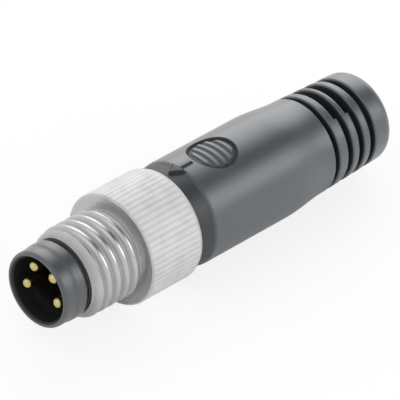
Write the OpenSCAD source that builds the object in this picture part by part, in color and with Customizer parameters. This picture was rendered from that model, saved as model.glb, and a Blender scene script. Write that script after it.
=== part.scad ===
// Circular M8 cable connector, male, four contacts, moulded onto its cable.
// The axis lies along X, the pins point to -X and the cable leaves to +X.
// The origin is on the axis, where the coupling thread reaches its full diameter.

/* [Coupling screw] */
// Major diameter of the coupling thread
thread_d = 7.94; // [7.84:0.01:8]
// Pitch of the coupling thread
thread_pitch = 1; // [0.75:0.05:1]
// Length of the threaded shank, with its starting chamfer
thread_l = 4.85; // [4.5:0.05:5.5]
// Width and height of the thread's starting chamfer
thread_chamfer = 0.5; // [0.3:0.05:0.5]
// Length of the run-out groove between thread and grip
runout_l = 0.7; // [0.5:0.05:0.9]
// Diameter over the knurled grip
grip_d = 9.9; // [9.6:0.05:10.2]
// Length of the knurled grip
grip_l = 5.85; // [5:0.05:6]
// Number of knurl teeth
knurl_teeth = 60; // [48:2:72]
// Depth of the knurl
knurl_depth = 0.11; // [0.06:0.01:0.15]
// Share of each tooth's pitch that is flat crest
knurl_crest = 0.3; // [0.2:0.05:0.4]
// Chamfer of the grip's front edge
grip_front_chamfer = 0.15; // [0.1:0.05:0.3]
// Radial size of the bevel at the grip's rear edge
grip_rear_bevel = 0.2; // [0.15:0.05:0.3]
// Bore of the threaded shank
shank_bore_d = 6.2; // [6.16:0.01:6.24]
// Bore of the grip, behind the inner shoulder
grip_bore_d = 8.4; // [8:0.05:8.6]
// Distance from the grip's front face back to the inner shoulder
shoulder_depth = 0.3; // [0.2:0.05:0.6]

/* [Contact carrier] */
// Diameter of the snap-in band at the rear of the collar
band_d = 6.88; // [6.7:0.02:7]
// Length of the snap-in band
band_l = 1; // [0.8:0.05:1.2]
// Height of the step from the collar's front part up to the band
band_step = 0.07; // [0.04:0.01:0.1]
// Length of the whole collar in front of the snap-in groove
collar_l = 2.5; // [2.2:0.05:2.6]
// Width of the snap-in groove between collar and screw
snap_groove_l = 0.47; // [0.35:0.01:0.6]
// Bore of the cup's wide mouth, which leaves a thin lip on the collar
mouth_d = 5.72; // [5.6:0.02:5.8]
// Depth of the wide mouth
mouth_l = 1.9; // [1.5:0.1:2.2]
// Bore of the cup behind its mouth
cup_d = 5.4; // [5.3:0.05:5.5]
// Depth of the whole cup
cup_depth = 6.2; // [5.5:0.1:6.6]
// Chamfer of the mouth's edge
mouth_chamfer = 0.05; // [0.02:0.01:0.1]
// Radius of the collar's outer front edge
rim_round = 0.4; // [0.3:0.02:0.42]
// Length of the anchor behind the shank
anchor_l = 1.9; // [1.6:0.1:2.4]
// Diameter of the anchor's neck
anchor_d = 5.5; // [5.4:0.05:5.6]

/* [Contact pins] */
// Diameter of a pin
pin_d = 1; // [0.9:0.05:1]
// Diameter of the circle that the pins stand on
pin_circle_d = 3.75; // [3.5:0.05:3.8]
// Distance of the pin tips behind the collar's rim
pin_setback = 0.55; // [0.5:0.05:1]
// Radius of the rounding at a pin's tip
pin_tip_round = 0.4; // [0.3:0.05:0.45]
// Diameter of a pin's shank in the carrier
pin_shank_d = 1.3; // [1.2:0.05:1.3]
// Diameter of a pin's retaining ring
pin_ring_d = 1.5; // [1.4:0.05:1.6]
// Outer diameter of the solder cup
solder_cup_d = 1.6; // [1.5:0.05:1.7]
// Length of the solder cup
solder_cup_l = 3; // [2.5:0.1:3.5]
// Bore of the solder cup
solder_bore_d = 1; // [0.9:0.05:1.1]

/* [Inner moulding] */
// Diameter of the keyed tail inside the grip body
tail_d = 7; // [6.8:0.1:7.2]
// Distance of the tail's end behind the nose
tail_end = 20; // [19:0.1:21]
// Number of ribs along the tail
tail_ribs = 6; // [4:1:8]
// Diameter of a bore for one insulated conductor
conductor_d = 1.3; // [1.2:0.05:1.4]

/* [Grip body] */
// Length of the whole connector
overall_l = 38.25; // [37:0.05:39]
// Diameter of the neck beside the coupling screw
neck_d = 9.16; // [9:0.02:9.2]
// Length of the neck
neck_l = 1.6; // [1.2:0.05:1.8]
// Diameter of the barrel
barrel_d = 9.35; // [9.25:0.05:9.5]
// Length of the cylindrical barrel behind the neck
barrel_l = 9.8; // [9:0.1:10]
// Length of the smooth taper from barrel to bend relief
taper_l = 4.9; // [4.6:0.1:5]
// Diameter at the front of the bend relief
relief_front_d = 8.6; // [8.4:0.02:8.8]
// Diameter at the rear end of the bend relief
relief_rear_d = 8.1; // [7.9:0.02:8.3]
// Radius of the rear end's outer edge
rear_round = 1; // [0.5:0.05:1.2]
// Bore for the cable's jacket
cable_bore_d = 4.4; // [4.2:0.1:4.8]

/* [Round recess on top] */
// Diameter of the round recess in the barrel
recess_d = 4.2; // [3.6:0.1:4.6]
// Depth of the round recess
recess_depth = 0.2; // [0.1:0.05:0.3]
// Distance from the barrel's front end to the middle of the recess
recess_place = 3.8; // [3:0.1:4.5]

/* [Bend relief slots] */
// Width of a ring groove
groove_w = 0.5; // [0.4:0.02:0.6]
// Diameter at the floor of a ring groove
groove_floor_d = 6.9; // [6.6:0.1:7.2]
// Distance from the start of the bend relief to the first groove
first_groove = 0.3; // [0.28:0.01:0.4]
// Distance from the first groove to the second
second_groove = 1.71; // [1.6:0.01:1.8]
// Pitch of the grooves from the second on
groove_pitch = 1.41; // [1.3:0.01:1.5]
// Number of ring grooves
groove_count = 4; // [3:1:4]
// Width of a slot, which widens its groove towards the front
slot_w = 0.88; // [0.7:0.02:0.95]
// Angle that a slot spans at the top, and again at the bottom
slot_angle = 70; // [60:2:90]
// Diameter at the floor of a slot
slot_floor_d = 5.4; // [5.2:0.1:6]

/* [Hidden] */

$fn = 96;

// Room between parts that turn on each other, radially and endways
running_gap = 0.05;
end_gap = 0.1;
// Amount by which a cutter passes the surface that it cuts
over = 0.5;
// Segments in a rounded edge and in the barrel's taper
arc_steps = 6;
taper_steps = 12;
// Form of an external metric thread: depth and crest as shares of the pitch, and half its flank angle
root_share = 0.6134;
crest_share = 1 / 8;
flank_angle = 30;

// Stations along the axis
screw_front = -thread_chamfer;
runout_x = screw_front + thread_l;
grip_front = runout_x + runout_l;
grip_rear = grip_front + grip_l;
inner_shoulder = grip_front + shoulder_depth;
groove_front = screw_front - snap_groove_l;
nose = groove_front - collar_l;
shank_rear = inner_shoulder + end_gap;
carrier_rear = shank_rear + anchor_l;
neck_front = grip_rear + end_gap;
barrel_front = neck_front + neck_l;
taper_front = barrel_front + barrel_l;
relief_front = taper_front + taper_l;
rear = nose + overall_l;
tail_rear = nose + tail_end;
cup_floor = nose + cup_depth;
solder_rear = carrier_rear + solder_cup_l;

// Radii that follow from the fits
root_r = thread_d / 2 - root_share * thread_pitch;
shank_r = shank_bore_d / 2 - running_gap;
sleeve_r = grip_bore_d / 2 - running_gap;
rear_bevel_l = 2 * grip_rear_bevel;

// Angles of the four pins from the top of the connector; the fifth place of the ring stays empty
pin_angles = [-108, -36, 36, 108];
// Anchor rib behind the shank
rib_x = shank_rear + 0.6;
rib_l = 0.6;
// Retaining ring of a pin, inside the carrier
ring_x = cup_floor + 1.2;
ring_l = 0.4;
// Solder cup's blind end, and the moulding's wall behind the cups
solder_bore_l = 0.8 * solder_cup_l;
jacket_seat = solder_rear + 1.5;
// Rib along the inner moulding's tail
tail_rib_w = 0.9;
tail_rib_h = 0.35;

// Points on an arc, as [x, r] pairs
function arc(centre, radius, from, to) =
    [for (i = [0 : arc_steps])
        let (a = from + (to - from) * i / arc_steps)
        centre + radius * [cos(a), sin(a)]];

// Smooth S-shaped taper between two stations: half a cosine wave
function s_taper(x1, r1, x2, r2) =
    [for (i = [1 : taper_steps])
        let (u = i / taper_steps)
        [x1 + (x2 - x1) * u, r1 + (r2 - r1) * (1 - cos(180 * u)) / 2]];

// The thread's true profile as rings, one for each turn: crest, flank, root and flank, as [x, r] pairs
function thread_rings(crest_r) =
    [for (i = [0 : floor(runout_x / thread_pitch) - 1])
        let (start = (i + crest_share) * thread_pitch,
             end = (i + 1) * thread_pitch,
             flank = (crest_r - root_r) * tan(flank_angle))
        each [[start, crest_r], [start + flank, root_r], [end - flank, root_r], [end, crest_r]]];

// Centre of ring groove i along the axis
function groove_x(i) =
    relief_front + first_groove + (i == 0 ? 0 : second_groove + (i - 1) * groove_pitch);

// Turns an outline of [x, r] points round the X axis
module turned(outline) {
    rotate([0, 90, 0])
        rotate_extrude()
            polygon([for (p = outline) [p[1], p[0]]]);
}

// A rod along the axis from x1 to x2
module rod(x1, x2, r) {
    translate([x1, 0, 0])
        rotate([0, 90, 0])
            cylinder(h = x2 - x1, r = r);
}

// Puts its children at each pin's place, or at pin i only
module at_pin(i) {
    rotate([-pin_angles[i], 0, 0])
        translate([0, 0, pin_circle_d / 2])
            children();
}

// ---- Coupling screw ----

// Cross-section of the straight knurl: flat crests with V-shaped valleys
module knurl_section() {
    pitch = 360 / knurl_teeth;
    crest = pitch * (1 - knurl_crest) / 2;
    crest_r = grip_d / 2;
    polygon([for (i = [0 : knurl_teeth - 1])
        for (p = [[0, crest_r - knurl_depth], [crest, crest_r], [pitch - crest, crest_r]])
            p[1] * [cos(i * pitch + p[0]), sin(i * pitch + p[0])]]);
}

module coupling_screw() {
    thread_r = thread_d / 2;
    grip_r = grip_d / 2;
    color([0.76, 0.75, 0.72])
        difference() {
            union() {
                turned(concat(
                    [[screw_front, 0],
                     [screw_front, thread_r - thread_chamfer],
                     [0, thread_r]],
                    thread_rings(thread_r),
                    [[runout_x, thread_r],
                     [runout_x + thread_r - root_r, root_r],
                     [grip_front + over, root_r],
                     [grip_front + over, 0]]));
                intersection() {
                    translate([grip_front, 0, 0])
                        rotate([0, 90, 0])
                            linear_extrude(grip_l)
                                knurl_section();
                    turned([[grip_front - over, 0],
                            [grip_front - over, grip_r - grip_front_chamfer - over],
                            [grip_front + grip_front_chamfer + over, grip_r + over],
                            [grip_rear - rear_bevel_l - over, grip_r + over / 2],
                            [grip_rear + over, grip_r - grip_rear_bevel - over / 2],
                            [grip_rear + over, 0]]);
                }
            }
            rod(screw_front - over, grip_rear, shank_bore_d / 2);
            rod(inner_shoulder, grip_rear + over, grip_bore_d / 2);
        }
}

// ---- Contact pins ----

// Outline of one pin about its own axis
module pin_blank() {
    tip = nose + pin_setback;
    flat = pin_d / 2 - pin_tip_round;
    turned(concat(
        [[tip, 0]],
        arc([tip + pin_tip_round, flat], pin_tip_round, 180, 90),
        [[cup_floor + over, pin_d / 2],
         [cup_floor + over, pin_shank_d / 2],
         [ring_x, pin_shank_d / 2],
         [ring_x, pin_ring_d / 2],
         [ring_x + ring_l, pin_ring_d / 2],
         [ring_x + ring_l, pin_shank_d / 2],
         [carrier_rear, pin_shank_d / 2],
         [carrier_rear, solder_cup_d / 2],
         [solder_rear, solder_cup_d / 2],
         [solder_rear, 0]]));
}

module contact_pin(i) {
    color([0.86, 0.66, 0.27])
        at_pin(i)
            difference() {
                pin_blank();
                rod(solder_rear - solder_bore_l, solder_rear + over, solder_bore_d / 2);
            }
}

// ---- Contact carrier ----

module contact_carrier() {
    band_r = band_d / 2;
    front_r = band_r - band_step;
    mouth_r = mouth_d / 2;
    cup_r = cup_d / 2;
    anchor_r = anchor_d / 2;
    color([0.16, 0.165, 0.175])
        difference() {
            turned(concat(
                [[nose, 0]],
                arc([nose + rim_round, front_r - rim_round], rim_round, 180, 90),
                [[groove_front - band_l - band_step, front_r],
                 [groove_front - band_l, band_r],
                 [groove_front - band_step, band_r],
                 [groove_front, band_r - band_step],
                 [groove_front, shank_r],
                 [shank_rear, shank_r],
                 [shank_rear, anchor_r],
                 [rib_x, anchor_r],
                 [rib_x, shank_r],
                 [rib_x + rib_l, shank_r],
                 [rib_x + rib_l, anchor_r],
                 [carrier_rear, anchor_r],
                 [carrier_rear, 0]]));
            turned([[nose - over, 0],
                    [nose - over, mouth_r + mouth_chamfer + over],
                    [nose + mouth_chamfer, mouth_r],
                    [nose + mouth_l, mouth_r],
                    [nose + mouth_l + mouth_r - cup_r, cup_r],
                    [cup_floor, cup_r],
                    [cup_floor, 0]]);
            for (i = [0 : len(pin_angles) - 1])
                at_pin(i)
                    pin_blank();
        }
}

// ---- Inner moulding ----

// Outside of the inner moulding: a sleeve that the screw turns on, and a ribbed tail
module inner_moulding_blank() {
    turned([[shank_rear, 0],
            [shank_rear, sleeve_r],
            [neck_front, sleeve_r],
            [neck_front, tail_d / 2],
            [tail_rear, tail_d / 2],
            [tail_rear, 0]]);
    for (i = [0 : tail_ribs - 1])
        rotate([i * 360 / tail_ribs, 0, 0])
            translate([neck_front, -tail_rib_w / 2, 0])
                cube([tail_rear - neck_front - over, tail_rib_w, tail_d / 2 + tail_rib_h]);
}

module inner_moulding() {
    color([0.1, 0.1, 0.11])
        difference() {
            inner_moulding_blank();
            rod(shank_rear - over, rib_x, anchor_d / 2);
            rod(rib_x, rib_x + rib_l, shank_r);
            rod(rib_x + rib_l, carrier_rear, anchor_d / 2);
            rod(jacket_seat, tail_rear + over, cable_bore_d / 2);
            for (i = [0 : len(pin_angles) - 1])
                at_pin(i) {
                    rod(carrier_rear, solder_rear, solder_cup_d / 2);
                    rod(solder_rear - over, jacket_seat + over, conductor_d / 2);
                }
        }
}

// ---- Grip body ----

// One slot of the bend relief: a ring sector that widens groove i towards the front
module slot(i, side) {
    rotate([side, 0, 0])
        translate([groove_x(i) + groove_w / 2 - slot_w, 0, 0])
            rotate([0, 90, 0])
                rotate([0, 0, 180 - slot_angle / 2])
                    rotate_extrude(angle = slot_angle)
                        translate([slot_floor_d / 2, 0])
                            square([relief_front_d / 2, slot_w]);
}

// Round recess on top, with a floor that follows the barrel
module round_recess() {
    difference() {
        translate([barrel_front + recess_place, 0, 0])
            cylinder(h = barrel_d, d = recess_d);
        rod(barrel_front, taper_front, barrel_d / 2 - recess_depth);
    }
}

module ring_groove(i) {
    translate([groove_x(i) - groove_w / 2, 0, 0])
        rotate([0, 90, 0])
            rotate_extrude()
                translate([groove_floor_d / 2, 0])
                    square([relief_front_d / 2, groove_w]);
}

module grip_body() {
    rear_r = relief_rear_d / 2;
    color([0.21, 0.22, 0.23])
        difference() {
            turned(concat(
                [[neck_front, 0],
                 [neck_front, neck_d / 2],
                 [barrel_front, neck_d / 2],
                 [barrel_front, barrel_d / 2],
                 [taper_front, barrel_d / 2]],
                s_taper(taper_front, barrel_d / 2, relief_front, relief_front_d / 2),
                arc([rear - rear_round, rear_r - rear_round], rear_round, 90, 0),
                [[rear, 0]]));
            inner_moulding_blank();
            round_recess();
            rod(tail_rear - over, rear + over, cable_bore_d / 2);
            for (i = [0 : groove_count - 1])
                ring_groove(i);
            for (i = [1, 2], side = [0, 180])
                slot(i, side);
        }
}

coupling_screw();
contact_carrier();
contact_pin(0);  // contact_pin_1
contact_pin(1);  // contact_pin_2
contact_pin(2);  // contact_pin_3
contact_pin(3);  // contact_pin_4
inner_moulding();
grip_body();
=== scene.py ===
"""Looks of a moulded M8 cable connector: turned, knurled and threaded metal, and dark mouldings."""
import logging
import math
from dataclasses import dataclass
from enum import Enum
from typing import Any, Callable, Sequence

import bpy
import numpy as np
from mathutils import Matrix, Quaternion, Vector


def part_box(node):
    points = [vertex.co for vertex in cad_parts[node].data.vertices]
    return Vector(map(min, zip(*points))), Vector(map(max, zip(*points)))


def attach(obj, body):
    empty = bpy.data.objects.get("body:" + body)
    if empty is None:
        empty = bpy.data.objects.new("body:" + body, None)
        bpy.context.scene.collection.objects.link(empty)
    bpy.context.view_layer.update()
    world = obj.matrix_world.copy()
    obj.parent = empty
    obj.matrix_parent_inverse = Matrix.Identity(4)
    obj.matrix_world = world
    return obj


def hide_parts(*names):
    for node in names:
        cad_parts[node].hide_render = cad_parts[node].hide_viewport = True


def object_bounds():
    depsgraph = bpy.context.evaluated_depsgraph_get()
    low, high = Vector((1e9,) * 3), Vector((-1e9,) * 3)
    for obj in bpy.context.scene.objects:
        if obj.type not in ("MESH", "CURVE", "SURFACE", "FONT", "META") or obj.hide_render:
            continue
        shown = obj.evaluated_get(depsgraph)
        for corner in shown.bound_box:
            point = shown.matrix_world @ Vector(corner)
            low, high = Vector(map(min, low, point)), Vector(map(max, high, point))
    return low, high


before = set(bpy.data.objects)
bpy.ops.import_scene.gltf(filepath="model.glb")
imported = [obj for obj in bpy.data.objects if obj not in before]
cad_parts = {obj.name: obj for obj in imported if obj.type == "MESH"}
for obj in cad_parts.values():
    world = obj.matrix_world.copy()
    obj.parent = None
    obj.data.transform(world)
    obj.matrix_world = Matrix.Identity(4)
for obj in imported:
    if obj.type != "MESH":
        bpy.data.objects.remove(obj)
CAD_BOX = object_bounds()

MM = 0.001
SHARP_EDGE = math.radians(38)
SIDE_SHARE = 0.45  # most of a side that one rounded corner may take
NONZERO = 1e-9     # keeps a side without length from dividing by 0
DOUBLE = 1e-5      # points closer than this, in mm, are one
SLACK = 1e-6       # keeps a whole number of stretches from being rounded up
NEAR = 0.001       # points within this distance, in mm, of a surface lie on it
WHITE = (1.0, 1.0, 1.0, 1.0)
LOG = logging.getLogger("connector")

Corner = tuple[float, float, float]
Tone = tuple[float, float, float]
Array = np.ndarray


class Body(Enum):
    """CAD bodies that a piece can ride on."""

    PLUG = "plug"
    SCREW = "screw"


class Slot(Enum):
    """Material slots of the record."""

    NICKEL = "nickel_plated_brass"
    GOLD = "gold_plated_brass"
    INSULATOR = "insulator"
    HARD_MOULDING = "hard_moulding"
    SOFT_MOULDING = "soft_moulding"


# ---- Surfaces of revolution ----

def rounded(corners: Sequence[Corner], closed: bool, steps: int = 5, support: float = 0.02) -> Array:
    """Rounds the corners of an outline.

    Each corner C with a round f becomes the quadratic curve (1-t)^2 A + 2t(1-t) C + t^2 B, where A and B
    lie on its two sides at the distance f. One more point on each side keeps the straight stretch flat.

    Args:
        corners: (x, radius, round) of each corner, in mm.
        closed: True if the last corner joins the first.
        steps: Stretches along each rounded corner.
        support: Distance of the extra point beyond the end of the round, at most a fifth of what is left.

    Returns:
        An array of (x, radius) points, without doubles.
    """
    data = np.array(corners, dtype=float)
    here, size = data[:, :2], data[:, 2].copy()
    to_last, to_next = np.roll(here, 1, axis=0) - here, np.roll(here, -1, axis=0) - here
    last_length = np.maximum(np.linalg.norm(to_last, axis=1), NONZERO)
    next_length = np.maximum(np.linalg.norm(to_next, axis=1), NONZERO)
    if not closed:
        size[[0, -1]] = 0.0
    shorter = np.minimum(last_length, next_length)
    size = np.minimum(size, SIDE_SHARE * shorter)
    before, after = to_last / last_length[:, None], to_next / next_length[:, None]
    t = np.linspace(0.0, 1.0, steps + 1)[None, :, None]
    start, end = here + before * size[:, None], here + after * size[:, None]
    curve = (1 - t) ** 2 * start[:, None] + 2 * t * (1 - t) * here[:, None] + t ** 2 * end[:, None]
    spare = np.minimum(support, 0.2 * (shorter - size))
    spare = np.where(size > 0, spare, 0.0)[:, None]
    points = [(start + before * spare)[:, None], curve, (end + after * spare)[:, None]]
    points = np.concatenate(points, axis=1)
    if not closed:
        points[0], points[-1] = here[0], here[-1]
    points = points.reshape(-1, 2)
    keep = np.concatenate([[True], np.linalg.norm(np.diff(points, axis=0), axis=1) > DOUBLE])
    if closed and np.linalg.norm(points[0] - points[-1]) < DOUBLE:
        keep[-1] = False
    return points[keep]


def subdivided(outline: Array, spacing: Callable[[Array], Array]) -> Array:
    """Splits the long stretches of a closed outline evenly.

    Args:
        outline: (x, radius) points in mm. The last joins the first.
        spacing: Gives the longest stretch allowed at each of some (x, radius) points.

    Returns:
        The outline with the points that this adds.
    """
    step = np.roll(outline, -1, axis=0) - outline
    length = np.linalg.norm(step, axis=1)
    count = np.maximum(np.ceil(length / spacing(outline + step / 2) - SLACK).astype(int), 1)
    first = np.repeat(np.cumsum(count) - count, count)
    share = (np.arange(count.sum()) - first) / np.repeat(count, count)
    return np.repeat(outline, count, axis=0) + share[:, None] * np.repeat(step, count, axis=0)


def signed_volume(points: Array, faces: Array) -> float:
    """Six times the volume inside some faces: the sum of a.(b x c) + a.(c x d) over their corners.

    Args:
        points: Vertices.
        faces: Four vertex numbers a face. A triangle repeats its last one.

    Returns:
        The volume, negative if the faces point inwards.
    """
    a, b, c, d = (points[faces[:, k]] for k in range(4))
    return float(np.einsum("ij,ij->i", a, np.cross(b, c) + np.cross(c, d)).sum())


def turned_mesh(name: str, x: Array, r: Array, angles: Array, closed: bool,
                values: dict[str, Array] | None = None) -> bpy.types.Mesh:
    """Builds a body turned round the X axis from a grid of stations and radii.

    Grid point (i, j) lies at (x, r sin(angle_j), r cos(angle_j)), so angle 0 points along +Z and a
    quarter turn along +Y. The grid closes round the axis. Along the outline it either closes too, or
    ends in one vertex on the axis at both ends.

    Args:
        name: Name of the mesh.
        x: Stations in mm, one row per outline point and one column per angle.
        r: Radii in mm, in the same layout.
        angles: Angles of the columns, in radians.
        closed: True for a bored piece, whose outline is a loop.
        values: Vertex attributes by name, in the same layout.

    Returns:
        The mesh, in metres, with its faces pointing outwards.
    """
    rows, columns = x.shape
    grid = np.stack([x, r * np.sin(angles), r * np.cos(angles)], axis=-1)
    i = np.arange(rows if closed else rows - 1)[:, None]
    j = np.arange(columns)[None, :]
    below, above = i * columns, (i + 1) % rows * columns
    side = (j + 1) % columns
    faces = np.broadcast_arrays(below + j, below + side, above + side, above + j)
    faces = np.stack(faces, axis=-1).reshape(-1, 4)
    points = grid.reshape(-1, 3)
    if not closed:
        j, side = j[0], side[0]
        first, last = rows * columns, rows * columns + 1
        top = (rows - 1) * columns
        ends = [np.stack([np.full(columns, first), side, j, j], axis=-1),
                np.stack([np.full(columns, last), top + j, top + side, top + side], axis=-1)]
        faces = np.concatenate([faces, *ends])
        points = np.concatenate([points, [[x[0, 0], 0, 0], [x[-1, 0], 0, 0]]])
    if signed_volume(points, faces) < 0:
        faces = faces[:, [1, 0, 3, 2]] if closed else faces[:, [0, 3, 2, 1]]
    mesh = bpy.data.meshes.new(name)
    corners = faces.tolist()
    if not closed:
        fans = 2 * columns
        corners = faces[:-fans].tolist() + [list(dict.fromkeys(face)) for face in faces[-fans:].tolist()]
    mesh.from_pydata((points * MM).tolist(), [], corners)
    for key, grid_value in (values or {}).items():
        flat = np.broadcast_to(grid_value, x.shape).ravel()
        flat = np.concatenate([flat, np.zeros(len(points) - flat.size)])
        mesh.attributes.new(key, "FLOAT", "POINT").data.foreach_set("value", flat.astype(np.float32))
    mesh.validate()
    mesh.shade_smooth()
    mesh.set_sharp_from_angle(angle=SHARP_EDGE)
    return mesh


def plain_turned(name: str, outline: Array, columns: int) -> bpy.types.Mesh:
    """Turns an outline that starts and ends on the axis, with the same radii at every angle.

    Args:
        name: Name of the mesh.
        outline: (x, radius) points in mm.
        columns: Number of even angles.

    Returns:
        The mesh, in metres.
    """
    angles = np.linspace(0, 2 * np.pi, columns, endpoint=False)
    x, r = (np.repeat(outline[1:-1, k:k + 1], columns, axis=1) for k in range(2))
    return turned_mesh(name, x, r, angles, closed=False)


def smooth_step(low: float, high: float, value: Array) -> Array:
    """Rises from 0 at low to 1 at high along 3u^2 - 2u^3."""
    u = np.clip((value - low) / (high - low), 0.0, 1.0)
    return u * u * (3 - 2 * u)


def soft_min(a: Array, b: Array, blend: float) -> Array:
    """The smaller of two values, with the kink rounded off over about the distance blend."""
    return 0.5 * (a + b - np.sqrt((a - b) ** 2 + blend ** 2))


def add_object(name: str, mesh: bpy.types.Mesh) -> bpy.types.Object:
    """Puts a mesh into the scene as an object at the origin.

    Args:
        name: Name of the object.
        mesh: Its mesh.

    Returns:
        The object.
    """
    piece = bpy.data.objects.new(name, mesh)
    bpy.context.collection.objects.link(piece)
    return piece


def axial_span(node: str) -> tuple[float, float]:
    """Front and rear station of a CAD node, in mm."""
    low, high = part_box(node)
    return low[0] / MM, high[0] / MM


# ---- Shader building ----

class Value:
    """A number socket whose arithmetic adds Math nodes."""

    def __init__(self, nodes: "Nodes", socket: bpy.types.NodeSocket) -> None:
        """Wraps a socket of the given node tree."""
        self.nodes, self.socket = nodes, socket

    def math(self, operation: str, *others: "Value | float", first: bool = True) -> "Value":
        """Adds one Math node on this value and others.

        Args:
            operation: Name of the Math node's operation.
            others: The other operands.
            first: False puts this value behind the others.

        Returns:
            The node's result.
        """
        operands = [self, *others] if first else [*others, self]
        node = self.nodes.add("ShaderNodeMath", {"operation": operation}, dict(enumerate(operands)))
        return Value(self.nodes, node.outputs[0])

    def __add__(self, other: "Value | float") -> "Value":
        """Sum."""
        return self.math("ADD", other)

    def __mul__(self, other: "Value | float") -> "Value":
        """Product."""
        return self.math("MULTIPLY", other)

    def __sub__(self, other: "Value | float") -> "Value":
        """Difference."""
        return self.math("SUBTRACT", other)

    def __rsub__(self, other: float) -> "Value":
        """Difference from a number."""
        return self.math("SUBTRACT", other, first=False)

    def __pow__(self, other: float) -> "Value":
        """Power."""
        return self.math("POWER", other)

    __radd__ = __add__
    __rmul__ = __mul__

    def bigger(self, other: "Value | float") -> "Value":
        """The larger of two values."""
        return self.math("MAXIMUM", other)

    def rise(self, low: float, high: float) -> "Value":
        """Goes smoothly from 0 at low to 1 at high.

        Args:
            low: Value up to which the result is 0.
            high: Value from which it is 1.

        Returns:
            The result of one Map Range node.
        """
        node = self.nodes.add("ShaderNodeMapRange", {"interpolation_type": "SMOOTHSTEP"},
                              {"Value": self, "From Min": low, "From Max": high})
        return Value(self.nodes, node.outputs[0])


class Nodes:
    """A node tree that is filled from Python expressions."""

    def __init__(self, tree: bpy.types.NodeTree) -> None:
        """Empties the tree and takes it over."""
        self.tree = tree
        tree.nodes.clear()

    def add(self, kind: str, settings: dict[str, Any] | None = None,
            inputs: dict[Any, Any] | None = None) -> bpy.types.Node:
        """Adds any node.

        Args:
            kind: Blender's name of the node type.
            settings: Properties of the node, set before its sockets.
            inputs: Values, sockets or Value objects by socket name or number.

        Returns:
            The new node.
        """
        node = self.tree.nodes.new(kind)
        for key, setting in (settings or {}).items():
            setattr(node, key, setting)
        self.feed(node, inputs or {})
        return node

    def feed(self, node: bpy.types.Node, inputs: dict[Any, Any]) -> None:
        """Sets or links sockets of a node.

        Args:
            node: A node of the tree.
            inputs: Values, sockets or Value objects by socket name or number.
        """
        for key, given in inputs.items():
            if isinstance(given, Value):
                given = given.socket
            if isinstance(given, bpy.types.NodeSocket):
                self.tree.links.new(given, node.inputs[key])
            else:
                node.inputs[key].default_value = given

    def object_coordinates(self) -> bpy.types.NodeSocket:
        """Place on the piece, in metres."""
        return self.add("ShaderNodeTexCoord").outputs["Object"]

    def split(self, vector: bpy.types.NodeSocket) -> list[Value]:
        """The three parts of a vector."""
        parts = self.add("ShaderNodeSeparateXYZ", None, {0: vector}).outputs
        return [Value(self, part) for part in parts]

    def join(self, *parts: "Value | float") -> bpy.types.NodeSocket:
        """A vector of three parts."""
        return self.add("ShaderNodeCombineXYZ", None, dict(enumerate(parts))).outputs[0]

    def scaled(self, vector: bpy.types.NodeSocket, *scale: float) -> bpy.types.NodeSocket:
        """A vector with each part multiplied. One factor alone goes to all three."""
        factors = scale * 3 if len(scale) == 1 else scale
        return self.add("ShaderNodeVectorMath", {"operation": "MULTIPLY"}, {0: vector, 1: factors}).outputs[0]

    def dot(self, vector: bpy.types.NodeSocket, direction: Sequence[float]) -> Value:
        """Cosine of the angle between two unit vectors."""
        node = self.add("ShaderNodeVectorMath", {"operation": "DOT_PRODUCT"}, {0: vector, 1: direction})
        return Value(self, node.outputs["Value"])

    def noise(self, vector: bpy.types.NodeSocket, detail: float) -> Value:
        """Noise around 0.5, one grain per unit of the vector."""
        node = self.add("ShaderNodeTexNoise", None, {"Vector": vector, "Scale": 1.0, "Detail": detail})
        return Value(self, node.outputs[0])

    def attribute(self, name: str) -> Value:
        """A vertex attribute of the piece."""
        return Value(self, self.add("ShaderNodeAttribute", {"attribute_name": name}).outputs["Fac"])

    def mixed(self, share: Value, a: Tone | bpy.types.NodeSocket,
              b: Tone | bpy.types.NodeSocket) -> bpy.types.NodeSocket:
        """Mixes two colours.

        Args:
            share: 0 gives the first colour and 1 the second.
            a: The first colour, as a tone or a socket.
            b: The second colour.

        Returns:
            The mixed colour.
        """
        ends = [end if isinstance(end, bpy.types.NodeSocket) else (*end, 1.0) for end in (a, b)]
        node = self.add("ShaderNodeMix", {"data_type": "RGBA"}, {0: share, 6: ends[0], 7: ends[1]})
        return node.outputs[2]

    def bump(self, height: Value, depth_mm: float) -> bpy.types.NodeSocket:
        """A surface normal tilted by a height between 0 and 1, depth_mm deep."""
        return self.add("ShaderNodeBump", None, {"Height": height, "Distance": depth_mm * MM}).outputs[0]


def new_material(slot: Slot) -> tuple[bpy.types.Material, Nodes, bpy.types.Node]:
    """Starts a material with a Principled shader wired to its output.

    Args:
        slot: Slot that the material is named for.

    Returns:
        The material, its nodes and its shader.
    """
    material = bpy.data.materials.new(slot.value)
    material.use_nodes = True
    nodes = Nodes(material.node_tree)
    shader = nodes.add("ShaderNodeBsdfPrincipled")
    nodes.add("ShaderNodeOutputMaterial", None, {"Surface": shader.outputs[0]})
    return material, nodes, shader


def shade(tone: Tone, factor: float) -> Tone:
    """A colour made lighter or darker."""
    return tuple(part * factor for part in tone)


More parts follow.
